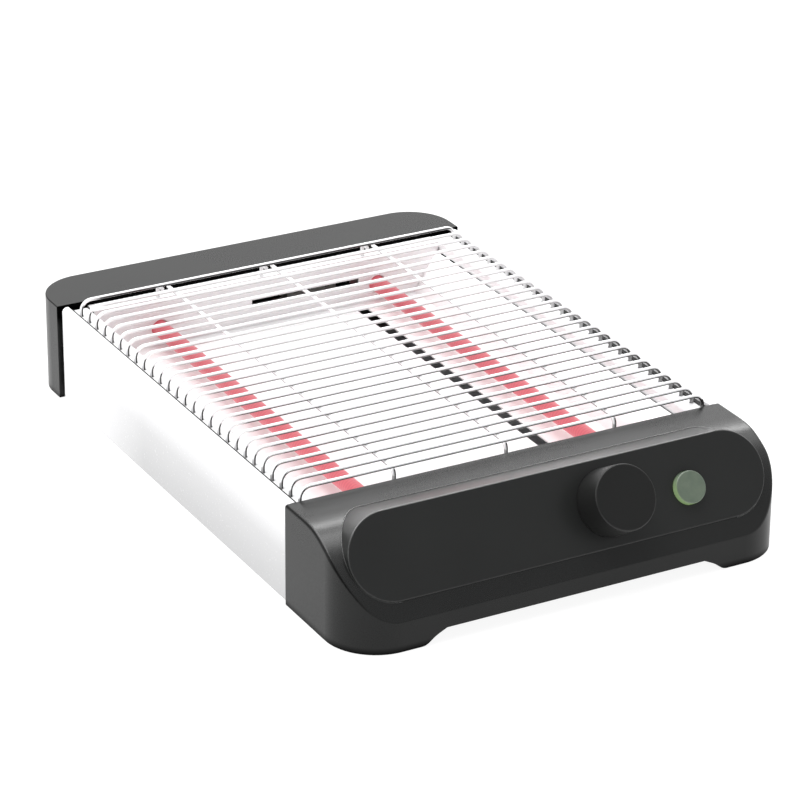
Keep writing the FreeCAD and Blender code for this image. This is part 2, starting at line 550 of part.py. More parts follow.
LONG_Z = WIRE_Z - WIRE_D / 2 - LONG_D / 2 + 0.12
longs = []
for x in LONG_X:
    z, R = LONG_Z, 4.0
    ye, yh = yb + 0.9, 3.3
    q = R * (1 - math.sqrt(0.5))
    e = [Part.LineSegment(V(x, ye, z), V(x, yh + R, z)).toShape(),
         Part.Arc(V(x, yh + R, z), V(x, yh + q, z - q), V(x, yh, z - R)).toShape(),
         Part.LineSegment(V(x, yh, z - R), V(x, yh, 48.0)).toShape()]
    longs.append(tube_path(e, LONG_D / 2))
parts["rack_long_wires"] = compound(longs)
legs = []
for x in LONG_X:
    xx, yl = x - 4.6, REAR_WALL_Y + 2.4
    R = 2.0
    z = WIRE_Z - WIRE_D / 2 - LONG_D / 2 + 0.06
    q = R * (1 - math.sqrt(0.5))
    e = [Part.LineSegment(V(xx, yb - 1.2, z), V(xx, yl - R, z)).toShape(),
         Part.Arc(V(xx, yl - R, z), V(xx, yl - q, z - q), V(xx, yl, z - R)).toShape(),
         Part.LineSegment(V(xx, yl, z - R), V(xx, yl, 50.6)).toShape()]
    legs.append(tube_path(e, LONG_D / 2))
parts["rack_rear_legs"] = compound(legs)

# ---------------------------------------------------------------- crumb tray
ty0, ty1 = 12.0, y1r - 0.2
tz, tt, th = TRAY_Z, 0.8, 7.0
tray = box(-TRAY_X, TRAY_X, ty0, ty1 - 3.0, tz, tz + th)
tray = tray.cut(box(-TRAY_X + tt, TRAY_X - tt, ty0 + tt, ty1 - 3.0 - tt, tz + tt, tz + th + 1))
parts["crumb_tray"] = tray
grip = box(-TRAY_X - 0.8, TRAY_X + 0.8, ty1 - 3.0, ty1, tz, tz + TRAY_WIN - 0.6)
grip = grip.fuse(box(-32, 32, ty1 - 0.5, ty1 + 5.0, tz + 9.5, tz + TRAY_WIN - 0.6))
gr_e = [e for e in grip.Edges if e.BoundBox.YMin > ty1 + 4.9 and e.Length > 10]
try:
    g2 = grip.makeFillet(0.9, gr_e)
    if g2.isValid():
        grip = g2
except Exception as err:
    print("grip fillet left out:", err)
parts["crumb_tray_front"] = grip.removeSplitter()

# ---------------------------------------------------------------- electrics
tb = box(20.0, 52.0, BODY_L + 8.0, BODY_L + 22.0, 27.0, 41.0)
for i in range(3):
    tb = tb.cut(cyl(2.6, V(26.0 + 10 * i, BODY_L + 12.0, 44), V(26.0 + 10 * i, BODY_L + 12.0, 35)))
    tb = tb.cut(cyl(1.9, V(26.0 + 10 * i, BODY_L + 25.0, 33.0), V(26.0 + 10 * i, BODY_L + 6.0, 33.0)))
parts["terminal_block"] = tb
ts = []
for i in range(3):
    ts.append(Part.makeCylinder(2.4, 3.5, V(26.0 + 10 * i, BODY_L + 12.0, 36.2)).cut(
        box(20, 60, BODY_L + 11.6, BODY_L + 12.4, 38.9, 41)))
parts["terminal_screws"] = compound(ts)


def lead(pts, rb_, r):
    """Round lead through pts with tangent arcs of radius rb_."""
    e = []
    last = pts[0]
    for i in range(1, len(pts) - 1):
        a, b, c = pts[i - 1], pts[i], pts[i + 1]
        u = (a - b).normalize()
        w = (c - b).normalize()
        ang = u.getAngle(w)
        t = rb_ / math.tan(ang / 2)
        p1, p2 = b + u * t, b + w * t
        bis = (u + w).normalize()
        cen = b + bis * (rb_ / math.sin(ang / 2))
        mid = cen - bis * rb_
        e.append(Part.LineSegment(last, p1).toShape())
        e.append(Part.Arc(p1, mid, p2).toShape())
        last = p2
    e.append(Part.LineSegment(last, pts[-1]).toShape())
    return tube_path(e, r)


leads = []
for x_l, y_f, y_r, x_e in ((-113.5, -17.0, BODY_L + 9.0, 20.0), (-117.5, -20.4, BODY_L + 12.6, 58.0)):
    leads.append(lead([V(18.8, y_r, LEAD_Z), V(x_l, y_r, LEAD_Z), V(x_l, y_f, LEAD_Z),
                       V(x_e, y_f, LEAD_Z)], 5.0, 1.2))
parts["lead_wires"] = compound(leads)

cutout = box(88.0, 104.0, -14.0, -6.0, 22.0, 34.0)
cutout = cutout.fuse(cyl(6.0, V(96.0, -6.5, 28.0), V(96.0, -0.2, 28.0)))
parts["thermal_cutout"] = cutout.removeSplitter()

bs = []
for s in (-1, 1):
    for sx in (-9.0, 9.0):
        x = s * TUBE_X + sx
        bs.append(cyl(1.3, V(x, -1.7, 45.5), V(x, -0.5, 45.5)))
parts["holder_rivets"] = compound(bs)

# ---------------------------------------------------------------- place and write
ymin = min(p.optimalBoundingBox(False).YMin if hasattr(p, "optimalBoundingBox") else p.BoundBox.YMin
           for p in parts.values())
ymax = max(p.optimalBoundingBox(False).YMax if hasattr(p, "optimalBoundingBox") else p.BoundBox.YMax
           for p in parts.values())
Y_SHIFT = -round((ymin + ymax) / 2, 2)
for n, shp in parts.items():
    shp.translate(V(0, Y_SHIFT, 0))
    ok = shp.isValid()
    bb = shp.BoundBox
    print("%-18s ok=%s solids=%d vol=%.0f  x %.1f..%.1f y %.1f..%.1f z %.1f..%.1f" % (
        n, ok, len(shp.Solids), shp.Volume, bb.XMin, bb.XMax, bb.YMin, bb.YMax, bb.ZMin, bb.ZMax))
    shp.exportStep("parts/%s.step" % n)
print("nodes", len(parts), "Y_SHIFT", Y_SHIFT, "y", ymin, ymax)
for nm, x, s, d in (("knob axis", KNOB_X, KNOB_S, 0), ("button axis", BUTTON_X, BUTTON_S, 0)):
    p = on_face(x, s, d) + V(0, Y_SHIFT, 0)
    print(nm, round(p.x, 3), round(p.y, 3), round(p.z, 3), "out", round(OUT.y, 5), round(OUT.z, 5))
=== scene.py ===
import json
import math

import bmesh
import bpy
from mathutils import Matrix, Vector


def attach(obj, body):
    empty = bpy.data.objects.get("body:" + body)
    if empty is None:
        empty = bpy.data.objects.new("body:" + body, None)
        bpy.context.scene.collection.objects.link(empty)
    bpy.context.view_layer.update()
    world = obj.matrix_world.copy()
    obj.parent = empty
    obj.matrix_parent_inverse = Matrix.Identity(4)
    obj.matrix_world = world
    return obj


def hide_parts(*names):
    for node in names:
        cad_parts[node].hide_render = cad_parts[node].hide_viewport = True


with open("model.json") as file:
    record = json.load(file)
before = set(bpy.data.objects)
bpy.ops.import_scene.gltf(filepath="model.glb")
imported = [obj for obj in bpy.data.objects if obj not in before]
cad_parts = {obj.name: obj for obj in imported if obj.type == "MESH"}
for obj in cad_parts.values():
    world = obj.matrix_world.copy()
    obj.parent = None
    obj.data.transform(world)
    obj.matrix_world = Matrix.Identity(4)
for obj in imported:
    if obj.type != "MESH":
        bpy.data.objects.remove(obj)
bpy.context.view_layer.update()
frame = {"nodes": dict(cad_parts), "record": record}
NODES = frame["nodes"]
scene = bpy.context.scene

# ------------------------------------------------------------ dimensions, mm
# Same figures as the CAD model; y = 0 is the back face of the front cap there,
# and the model's own origin lies Y_SHIFT further.
Y_SHIFT = -122.44
BODY_L = 282.1
FRONT_D, REAR_D = 71.4, 37.5
WIRE_N, WIRE_Y0, WIRE_P, WIRE_D = 27, 2.3, 10.28, 2.0
WIRE_Z, WIRE_X, WIRE_R, WIRE_FOOT = 63.0, 120.4, 6.0, 46.0
LONG_X, LONG_D = (-66.0, 0.0, 66.0), 2.2
LONG_Z = WIRE_Z - WIRE_D / 2 - LONG_D / 2 + 0.12
REAR_WALL_Y = 272.4
TUBE_X, TUBE_Z, TUBE_D = 70.5, 35.0, 9.4
TUBE_Y0, TUBE_Y1 = -8.0, 282.0
FACE_ANG = math.radians(58.5)
UP = Vector((0, math.cos(FACE_ANG), math.sin(FACE_ANG)))
OUT = Vector((0, -math.sin(FACE_ANG), math.cos(FACE_ANG)))
FACE_C = Vector((0, -54.1, 45.25))
FACE_A, FACE_H = 122.05, 23.3
BACK = Vector((0, math.cos(math.radians(20.0)), -math.sin(math.radians(20.0))))
PROFILE = [(-5.0, 56.8), (-19.0, 56.8), (-25.5, 56.5), (-31.5, 55.5), (-38.3, 52.8), (-45.0, 49.0),
           (-51.0, 44.0), (-56.4, 38.1), (-62.1, 30.8), (-66.4, 24.3), (-69.2, 20.0), (-71.4, 16.7)]


def mm(p):
    """A point in the building frame, in mm, as metres in the model's frame."""
    return Vector((p[0], p[1] + Y_SHIFT, p[2])) / 1000.0


def on_face(x, s, d=0.0):
    return FACE_C + Vector((x, 0, 0)) + UP * s - OUT * d


# ------------------------------------------------------------ node helpers
class Mat:
    """A small wrapper that builds a node material."""

    def __init__(self, name):
        self.m = bpy.data.materials.new(name)
        self.m.use_nodes = True
        self.t = self.m.node_tree
        self.n = self.t.nodes
        self.l = self.t.links
        self.b = self.n["Principled BSDF"]
        self.out = self.n["Material Output"]
        self.co = self.n.new("ShaderNodeTexCoord")

    def set(self, **k):
        for key, v in k.items():
            self.b.inputs[key.replace("_", " ")].default_value = v
        return self

    def mapping(self, scale):
        mp = self.n.new("ShaderNodeMapping")
        mp.inputs["Scale"].default_value = scale
        self.l.new(self.co.outputs["Object"], mp.inputs["Vector"])
        return mp.outputs["Vector"]

    def noise(self, scale, detail=3.0, rough=0.55, stretch=(1, 1, 1), w=0.0):
        t = self.n.new("ShaderNodeTexNoise")
        t.inputs["Scale"].default_value = scale
        t.inputs["Detail"].default_value = detail
        t.inputs["Roughness"].default_value = rough
        self.l.new(self.mapping(stretch), t.inputs["Vector"])
        return t.outputs["Fac"]

    def ramp(self, fac, stops, mode="LINEAR"):
        r = self.n.new("ShaderNodeValToRGB")
        r.color_ramp.interpolation = mode
        el = r.color_ramp.elements
        while len(el) < len(stops):
            el.new(0.5)
        for e, (p, c) in zip(el, stops):
            e.position = p
            e.color = (*c, 1.0) if len(c) == 3 else c
        self.l.new(fac, r.inputs["Fac"])
        return r.outputs["Color"]

    def remap(self, fac, a, b, lo=0.0, hi=1.0):
        r = self.n.new("ShaderNodeMapRange")
        r.inputs["From Min"].default_value = lo
        r.inputs["From Max"].default_value = hi
        r.inputs["To Min"].default_value = a
        r.inputs["To Max"].default_value = b
        self.l.new(fac, r.inputs["Value"])
        return r.outputs["Result"]

    def mix(self, fac, a, b, kind="MIX"):
        r = self.n.new("ShaderNodeMix")
        r.data_type = "RGBA"
        r.blend_type = kind
        for sock, v in (("Factor", fac), ("A", a), ("B", b)):
            i = [s for s in r.inputs if s.name == sock and s.enabled and
                 (s.type == "VALUE" if sock == "Factor" else s.type == "RGBA")][0]
            if isinstance(v, (int, float)):
                i.default_value = v
            elif isinstance(v, tuple):
                i.default_value = (*v, 1.0) if len(v) == 3 else v
            else:
                self.l.new(v, i)
        return [s for s in r.outputs if s.type == "RGBA" and s.enabled][0]

    def bump(self, height, strength, dist, normal=None):
        b = self.n.new("ShaderNodeBump")
        b.inputs["Strength"].default_value = strength
        b.inputs["Distance"].default_value = dist
        self.l.new(height, b.inputs["Height"])
        if normal is not None:
            self.l.new(normal, b.inputs["Normal"])
        return b.outputs["Normal"]

    def bevel(self, radius, samples=6):
        b = self.n.new("ShaderNodeBevel")
        b.samples = samples
        b.inputs["Radius"].default_value = radius
        return b.outputs["Normal"]

    def edge_mask(self, radius, power=1.0):
        """About 1 on sharp edges and 0 on flats: bevelled normal against true normal."""
        bv = self.bevel(radius, 6)
        g = self.n.new("ShaderNodeNewGeometry")
        d = self.n.new("ShaderNodeVectorMath")
        d.operation = "DOT_PRODUCT"
        self.l.new(bv, d.inputs[0])
        self.l.new(g.outputs["Normal"], d.inputs[1])
        return self.remap(d.outputs["Value"], 1.0, 0.0, 0.80, 0.995)

    def to(self, sock, out):
        self.l.new(out, self.b.inputs[sock])
        return self


def plastic(name, base, rough, fade=None, edge=0.0006, painted_top_light=0.0):
    m = Mat(name)
    big = m.noise(14.0, 3.0, 0.5)
    fine = m.noise(2600.0, 2.0, 0.6)
    mid = m.noise(420.0, 4.0, 0.6)
    lo = tuple(c * 0.90 for c in base)
    hi = tuple(c * 1.12 for c in base)
    col = m.mix(m.remap(big, 0.0, 1.0, 0.3, 0.7), lo, hi)
    m.to("Base Color", col)
    r = m.n.new("ShaderNodeMath")
    r.operation = "ADD"
    m.l.new(m.remap(fine, rough - 0.012, rough + 0.012, 0.3, 0.7), r.inputs[0])
    m.l.new(m.remap(big, -0.02, 0.02, 0.3, 0.7), r.inputs[1])
    m.to("Roughness", r.outputs[0])
    nrm = m.bevel(edge)
    nrm = m.bump(mid, 0.012, 0.00004, nrm)
    m.to("Normal", nrm)
    m.set(IOR=1.5)
    if fade:
        # painted sheen: stronger reflection on the tops and weaker on the walls, set by height and depth; painted
        # shade right at the bottom edge, where reflection and colour are cut
        sp = m.n.new("ShaderNodeSeparateXYZ")
        m.l.new(m.co.outputs["Object"], sp.inputs[0])
        gn = m.n.new("ShaderNodeNewGeometry")
        gs = m.n.new("ShaderNodeSeparateXYZ")
        m.l.new(gn.outputs["Normal"], gs.inputs[0])
        up = m.remap(gs.outputs["Z"], 0.0, 1.0, fade[4], fade[5])
        top = m.remap(sp.outputs["Y"], fade[0], fade[1], -0.130, 0.160)
        wall = m.remap(sp.outputs["Y"], fade[2], fade[3], -0.190, 0.150)
        painted_shade_fac = m.remap(sp.outputs["Z"], 0.15, 1.0, 0.0006, 0.0042)
        lvl = m.mix(up, wall, top)
        if len(fade) > 6:
            # painted shade: dark in the recess behind the rack and on the rounding of the right-hand side
            right = m.remap(gs.outputs["X"], 1.0, 0.40, 0.30, 0.85)
            fy = m.remap(gs.outputs["Y"], 1.0, 0.0, -0.8, -0.4)
            back = m.remap(sp.outputs["Y"], 0.0, 1.0, 0.140, 0.150)
            high = m.remap(sp.outputs["Z"], 0.0, 1.0, 0.044, 0.050)
            rec = m.mix(1.0, m.mix(1.0, fy, back, "MULTIPLY"), high, "MULTIPLY")
            painted_recess_shade = m.mix(rec, (1.0, 1.0, 1.0), (0.06, 0.06, 0.06))
            painted_shade_fac = m.mix(1.0, m.mix(1.0, painted_shade_fac, painted_recess_shade, "MULTIPLY"), right, "MULTIPLY")
            # painted shade also along the rounded edge of the left-hand side
            ea = m.remap(gs.outputs["X"], 1.0, 0.0, -0.50, -0.25)
            eb = m.remap(gs.outputs["X"], 0.0, 1.0, -0.97, -0.85)
            ec = m.remap(gs.outputs["Z"], 0.0, 1.0, 0.12, 0.30)
            le = m.mix(1.0, m.mix(1.0, ea, eb, "MULTIPLY"), ec, "MULTIPLY")
            painted_shade_fac = m.mix(1.0, painted_shade_fac, m.mix(le, (1.0, 1.0, 1.0), (0.30, 0.30, 0.30)), "MULTIPLY")
        m.to("Specular IOR Level", m.mix(1.0, lvl, painted_shade_fac, "MULTIPLY"))
        # painted light: upward-facing surfaces are lightened towards a grey
        if painted_top_light:
            col = m.mix(up, col, (painted_top_light,) * 3)
        # painted shade: the colour is darkened at the bottom edge, and for the body plastic also in the recess and on
        # the side roundings
        m.to("Base Color", m.mix(1.0, col, painted_shade_fac, "MULTIPLY"))
    return m


def metal(name, base, rough, streak=(1, 1, 1), streak_amt=0.05, bump=0.05, scale=300.0):
    m = Mat(name)
    s = m.noise(scale, 4.0, 0.6, streak)
    cloud = m.noise(9.0, 3.0, 0.5)
    lo = tuple(c * 0.93 for c in base)
    col = m.mix(m.remap(cloud, 0.0, 1.0, 0.3, 0.7), lo, base)
    m.to("Base Color", col)
    m.to("Roughness", m.remap(s, max(0.02, rough - streak_amt), rough + streak_amt, 0.3, 0.7))
    m.to("Normal", m.bump(s, bump, 0.00005))
    m.set(Metallic=1.0)
    return m


# ------------------------------------------------------------ materials
black = plastic("black_plastic", (0.0125, 0.013, 0.0127), 0.28, fade=(0.62, 0.47, 0.21, 0.31, 0.10, 0.75, 1))
panel_m = plastic("panel_plastic", (0.016, 0.0168, 0.0163), 0.30, fade=(1.0, 1.0, 0.50, 0.50, 0.60, 0.80), painted_top_light=0.06)
knob_m = plastic("knob_plastic", (0.0090, 0.0093, 0.0090), 0.42, edge=0.0004)
knob_m.b.inputs["Specular IOR Level"].default_value = 0.38
# painted highlight: the joint bead is a lighter grey than the cap plastic so that it reads as a light line along the
# joint
bead_highlight_m = plastic("bead_highlight_plastic", (0.030, 0.031, 0.030), 0.24, edge=0.0001, fade=(1.0, 1.0, 0.30, 0.30, 0.50, 0.95))
grey = plastic("grey_plastic", (0.28, 0.28, 0.27), 0.5)

white = Mat("white_metal")
wn = white.noise(900.0, 3.0, 0.5)
wc = white.noise(6.0, 2.0, 0.5)
wp = white.n.new("ShaderNodeSeparateXYZ")
white.l.new(white.co.outputs["Object"], wp.inputs[0])
# painted shade: the white metal darkens towards the bottom, and painted light fades that shade out towards the rear
painted_low_shade = white.ramp(white.remap(wp.outputs["Z"], 0.0, 1.0, 0.0, 0.060), [(0.0, (0.50,) * 3), (0.17, (0.53,) * 3), (0.45, (0.62,) * 3), (0.78, (0.95,) * 3), (0.95, (1.0,) * 3)])
painted_rear_light = white.remap(wp.outputs["Y"], 0.0, 1.0, 0.050, 0.135)
wcol = white.mix(white.remap(wc, 0.0, 1.0, 0.3, 0.7), (0.83, 0.83, 0.84), (0.87, 0.87, 0.88))
white.to("Base Color", white.mix(1.0, wcol, white.mix(painted_rear_light, painted_low_shade, (1.0, 1.0, 1.0)), "MULTIPLY"))
white.to("Roughness", white.remap(wn, 0.20, 0.28, 0.3, 0.7))
white.to("Normal", white.bump(wn, 0.06, 0.00004, white.bevel(0.0005)))
# painted light: the white metal has a faint white glow
white.set(IOR=1.5, Coat_Weight=0.4, Coat_Roughness=0.08, Emission_Color=(1.0, 1.0, 1.0, 1.0), Emission_Strength=0.05)

chrome = metal("chrome_wire", (0.93, 0.93, 0.935), 0.22, (1, 1, 1), 0.03, 0.02, 700.0)
cg = chrome.n.new("ShaderNodeNewGeometry")
cz = chrome.n.new("ShaderNodeSeparateXYZ")
chrome.l.new(cg.outputs["Normal"], cz.inputs[0])
cp = chrome.n.new("ShaderNodeSeparateXYZ")
chrome.l.new(chrome.co.outputs["Object"], cp.inputs[0])


def cmath(op, a_, b_):
    q = chrome.n.new("ShaderNodeMath")
    q.operation = op
    for i_, v_ in enumerate((a_, b_)):
        if isinstance(v_, (int, float)):
            q.inputs[i_].default_value = v_
        else:
            chrome.l.new(v_, q.inputs[i_])
    return q.outputs[0]


# painted shade: dark undersides, strongest at the front and on the border wire
edge_w = cmath("MULTIPLY", chrome.remap(cp.outputs["Y"], 0.0, 1.0, 0.141, 0.1445), chrome.remap(cp.outputs["Z"], 0.0, 1.0, 0.0618, 0.0623))
nz = cmath("SUBTRACT", cz.outputs["Z"], cmath("MULTIPLY", edge_w, 0.34))
amount = cmath("MAXIMUM", chrome.remap(cp.outputs["Y"], 1.0, 0.40, -0.03, 0.07), edge_w)
painted_underside_shade = cmath("MULTIPLY", chrome.remap(nz, 1.0, 0.0, -0.04, 0.10), amount)
# painted shade on the inner side of the upright ends on the left
front_w = chrome.remap(cp.outputs["Y"], 1.0, 0.0, -0.085, -0.055)
keep = cmath("MAXIMUM", front_w, chrome.remap(cp.outputs["X"], 0.0, 1.0, -0.1150, -0.1080))
painted_underside_shade = cmath("MULTIPLY", painted_underside_shade, keep)
upright = cmath("MAXIMUM", front_w, chrome.remap(cp.outputs["Z"], 1.0, 0.0, 0.0597, 0.0608))
shade = cmath("MULTIPLY", chrome.remap(cp.outputs["X"], 1.0, 0.0, -0.1185, -0.1165),
              chrome.remap(cz.outputs["X"], 0.0, 1.0, -0.45, -0.20))
shade = cmath("MULTIPLY", shade, upright)
# painted shade on the hooks at the front end
painted_hook_shade = cmath("MULTIPLY", chrome.remap(cp.outputs["Y"], 1.0, 0.0, -0.1172, -0.1160),
             chrome.remap(cz.outputs["X"], 0.0, 1.0, -0.30, 0.0))
painted_hook_shade = cmath("MULTIPLY", painted_hook_shade, chrome.remap(cp.outputs["Z"], 1.0, 0.0, 0.0603, 0.0610))
painted_wire_shade = cmath("MAXIMUM", cmath("MAXIMUM", painted_underside_shade, shade), painted_hook_shade)
cn = chrome.noise(60.0, 2.0, 0.5)
# the base colour goes near-black wherever the painted wire shade is set
chrome.to("Base Color", chrome.mix(painted_wire_shade, chrome.mix(chrome.remap(cn, 0.0, 1.0, 0.3, 0.7), (0.90, 0.90, 0.905), (0.95, 0.95, 0.955)),
                                   (0.022, 0.020, 0.020)))
# painted light: the unshaded part of the wires glows grey-white
chrome.to("Emission Color", chrome.mix(painted_wire_shade, (0.24, 0.24, 0.245), (0.0, 0.0, 0.0)))
chrome.set(Emission_Strength=0.9)
chrome.set(Metallic=0.25, IOR=1.6)
bright = metal("bright_sheet", (0.90, 0.89, 0.895), 0.42, (1, 0.05, 1), 0.06, 0.05, 260.0)
bright.set(Metallic=0.12)
refl_m = metal("reflector", (0.90, 0.895, 0.90), 0.62, (1, 0.04, 1), 0.06, 0.05, 240.0)
refl_m.set(Metallic=0.06)
rs = refl_m.n.new("ShaderNodeSeparateXYZ")
refl_m.l.new(refl_m.co.outputs["Object"], rs.inputs[0])
# painted light: the reflector glows pale grey near its right-hand edge, beyond x = 100 mm, lifting the shade there
refl_m.to("Emission Color", refl_m.mix(refl_m.remap(rs.outputs["X"], 0.0, 1.0, 0.100, 0.106), (0.0, 0.0, 0.0), (0.60, 0.59, 0.595)))
refl_m.set(Emission_Strength=1.0)
steel = metal("steel", (0.62, 0.62, 0.62), 0.34, (0.06, 1, 1), 0.08, 0.08, 200.0)
tray_m = metal("tray_sheet", (0.72, 0.72, 0.73), 0.34, (1, 0.06, 1), 0.025, 0.012, 220.0)
brass = metal("brass", (0.78, 0.60, 0.30), 0.25)

rubber = Mat("rubber")
rn = rubber.noise(1500.0, 3.0, 0.6)
rubber.to("Base Color", rubber.mix(rubber.remap(rn, 0.0, 1.0, 0.3, 0.7), (0.012, 0.012, 0.012), (0.03, 0.03, 0.03)))
rubber.to("Normal", rubber.bump(rn, 0.3, 0.0001))
rubber.set(Roughness=0.85)

ceramic = Mat("ceramic")
cn = ceramic.noise(700.0, 4.0, 0.6)
ceramic.to("Base Color", ceramic.mix(ceramic.remap(cn, 0.0, 1.0, 0.35, 0.65), (0.74, 0.73, 0.68), (0.84, 0.83, 0.80)))
ceramic.to("Normal", ceramic.bump(cn, 0.2, 0.0001))
ceramic.set(Roughness=0.7)

sleeve = Mat("lead_cover")
sn = sleeve.n.new("ShaderNodeTexWave")
sn.inputs["Scale"].default_value = 900.0
sleeve.l.new(sleeve.mapping((1, 1, 1)), sn.inputs["Vector"])
sleeve.to("Base Color", sleeve.mix(sn.outputs["Fac"], (0.62, 0.60, 0.54), (0.80, 0.78, 0.72)))
sleeve.to("Normal", sleeve.bump(sn.outputs["Fac"], 0.4, 0.0002))
sleeve.set(Roughness=0.8)

# quartz tube: satin quartz that glows salmon red from the coil inside
quartz = Mat("quartz")
qn = quartz.noise(60.0, 3.0, 0.5, (1, 0.25, 1))
ring = quartz.n.new("ShaderNodeTexWave")
ring.bands_direction = "Y"
ring.inputs["Scale"].default_value = 143.0
ring.inputs["Distortion"].default_value = 0.6
ring.inputs["Detail"].default_value = 1.0
quartz.l.new(quartz.mapping((1, 1, 1)), ring.inputs["Vector"])
gcol = quartz.mix(quartz.remap(ring.outputs["Fac"], 0.0, 1.0, 0.1, 0.9), (0.56, 0.092, 0.122), (0.63, 0.112, 0.142))
qs = quartz.n.new("ShaderNodeSeparateXYZ")
quartz.l.new(quartz.co.outputs["Object"], qs.inputs[0])
# painted shade: the glow is made dimmer towards the rear of the tube
qy = quartz.remap(qs.outputs["Y"], 1.0, 0.74, -0.03, 0.12)
quartz.to("Emission Color", quartz.mix(1.0, gcol, qy, "MULTIPLY"))
quartz.to("Base Color", quartz.mix(quartz.remap(qn, 0.0, 1.0, 0.3, 0.7), (0.16, 0.035, 0.04), (0.20, 0.05, 0.055)))
quartz.set(Roughness=0.40, IOR=1.46, Emission_Strength=0.92, Coat_Weight=0.2, Coat_Roughness=0.2)

coil_m = Mat("glowing_coil")
kn = coil_m.noise(90.0, 2.0, 0.5)
coil_m.to("Emission Color", coil_m.mix(coil_m.remap(kn, 0.0, 1.0, 0.3, 0.7), (1.0, 0.20, 0.07), (1.0, 0.30, 0.12)))
coil_m.to("Base Color", coil_m.mix(coil_m.remap(kn, 0.0, 1.0, 0.3, 0.7), (0.35, 0.10, 0.08), (0.45, 0.14, 0.10)))
coil_m.set(Roughness=0.5, Metallic=0.6, Emission_Strength=3.0)

# lit button: grey-green translucent face; the brighter yellow-green glow on its wall, only where it faces the lower
# left, is painted light
lens = Mat("green_lens")
geo = lens.n.new("ShaderNodeNewGeometry")
dot = lens.n.new("ShaderNodeVectorMath")
dot.operation = "DOT_PRODUCT"
lens.l.new(geo.outputs["Normal"], dot.inputs[0])
dot.inputs[1].default_value = OUT
side = lens.remap(dot.outputs["Value"], 1.0, 0.0, 0.30, 0.90)
low = lens.n.new("ShaderNodeVectorMath")
low.operation = "DOT_PRODUCT"
lens.l.new(geo.outputs["Normal"], low.inputs[0])
low.inputs[1].default_value = Vector((-0.80, -0.30, -0.52))
low_f = lens.remap(low.outputs["Value"], 0.0, 1.0, -0.15, 0.75)
painted_rim_light = lens.n.new("ShaderNodeMath")
painted_rim_light.operation = "MULTIPLY"
lens.l.new(side, painted_rim_light.inputs[0])
lens.l.new(low_f, painted_rim_light.inputs[1])
ln = lens.noise(220.0, 3.0, 0.5)
lens.to("Emission Color", lens.mix(painted_rim_light.outputs[0], (0.040, 0.056, 0.040), (0.21, 0.315, 0.13)))
lens.to("Base Color", lens.mix(lens.remap(ln, 0.0, 1.0, 0.3, 0.7), (0.095, 0.122, 0.093), (0.125, 0.152, 0.115)))
lens.set(Roughness=0.30, IOR=1.49, Emission_Strength=0.75, Coat_Weight=0.3, Coat_Roughness=0.1,
         Subsurface_Weight=0.2)
lens.b.inputs["Subsurface Radius"].default_value = (0.003, 0.004, 0.003)

lampg = Mat("lamp_glass")
lg = lampg.noise(120.0)
lampg.to("Base Color", lampg.mix(lg, (0.6, 0.85, 0.5), (0.8, 0.95, 0.7)))
lampg.set(Roughness=0.1, Transmission_Weight=0.6, Emission_Strength=1.0, Emission_Color=(0.5, 0.9, 0.4, 1))

BY_SLOT = {
    "black_plastic": black, "panel_plastic": panel_m, "knob_plastic": knob_m, "steel": steel,
    "grey_plastic": grey, "green_lens": lens, "lamp_glass": lampg, "rubber": rubber,
    "white_metal": white, "bright_sheet": bright, "reflector": refl_m, "quartz": quartz,
    "glowing_coil": coil_m, "ceramic": ceramic, "chrome_wire": chrome, "tray_sheet": tray_m,
    "brass": brass, "lead_cover": sleeve,
}
SLOT_OF = {s["node"]: s["material_slot"] for s in frame["record"]["subparts"]}


def auto_smooth(o, deg=32.0):
    """Smooth shading with sharp edges where the surface turns by more than deg."""
    me = o.data
    me.shade_smooth()
    me.set_sharp_from_angle(angle=math.radians(deg))


for name, o in NODES.items():
    o.data.materials.clear()
    o.data.materials.append(BY_SLOT[SLOT_OF[name]].m)


# ------------------------------------------------------------ mesh helpers
def mesh_object(name, bm, mat, smooth=True, deg=32.0):
    bmesh.ops.recalc_face_normals(bm, faces=bm.faces)
    me = bpy.data.meshes.new(name)
    bm.to_mesh(me)
    bm.free()
    o = bpy.data.objects.new(name, me)
    scene.collection.objects.link(o)
    me.materials.append(mat.m)
    if smooth:
        auto_smooth(o, deg)
    return o


def sweep(bm, pts, r, seg=14, closed_ends=True):
    """Round bar along a polyline of points in metres."""
    rings = []
    n = len(pts)
    t0 = (pts[1] - pts[0]).normalized()
    ref = Vector((0, 1, 0)) if abs(t0.y) < 0.9 else Vector((1, 0, 0))
    side = t0.cross(ref).normalized()
    for i, p in enumerate(pts):
        if i == 0:
            t = t0
        elif i == n - 1:
            t = (pts[-1] - pts[-2]).normalized()
        else:
            t = ((pts[i + 1] - p).normalized() + (p - pts[i - 1]).normalized()).normalized()
        side = (side - t * side.dot(t)).normalized()
        up = t.cross(side)
        ring = []
        for k in range(seg):
            a = 2 * math.pi * k / seg
            ring.append(bm.verts.new(p + side * (r * math.cos(a)) + up * (r * math.sin(a))))
        rings.append(ring)
    for a, b in zip(rings[:-1], rings[1:]):
        for k in range(seg):
            bm.faces.new((a[k], a[(k + 1) % seg], b[(k + 1) % seg], b[k]))
    if closed_ends:
        bm.faces.new(list(reversed(rings[0])))
        bm.faces.new(rings[-1])


def arc_pts(c, a0, a1, r, axes, n=10):
    """Points on an arc about c, angles in degrees, axes are two unit vectors."""
    out = []
    for i in range(n + 1):
        a = math.radians(a0 + (a1 - a0) * i / n)
        out.append(c + axes[0] * (r * math.cos(a)) + axes[1] * (r * math.sin(a)))
    return out


X, Y, Z = Vector((1, 0, 0)), Vector((0, 1, 0)), Vector((0, 0, 1))


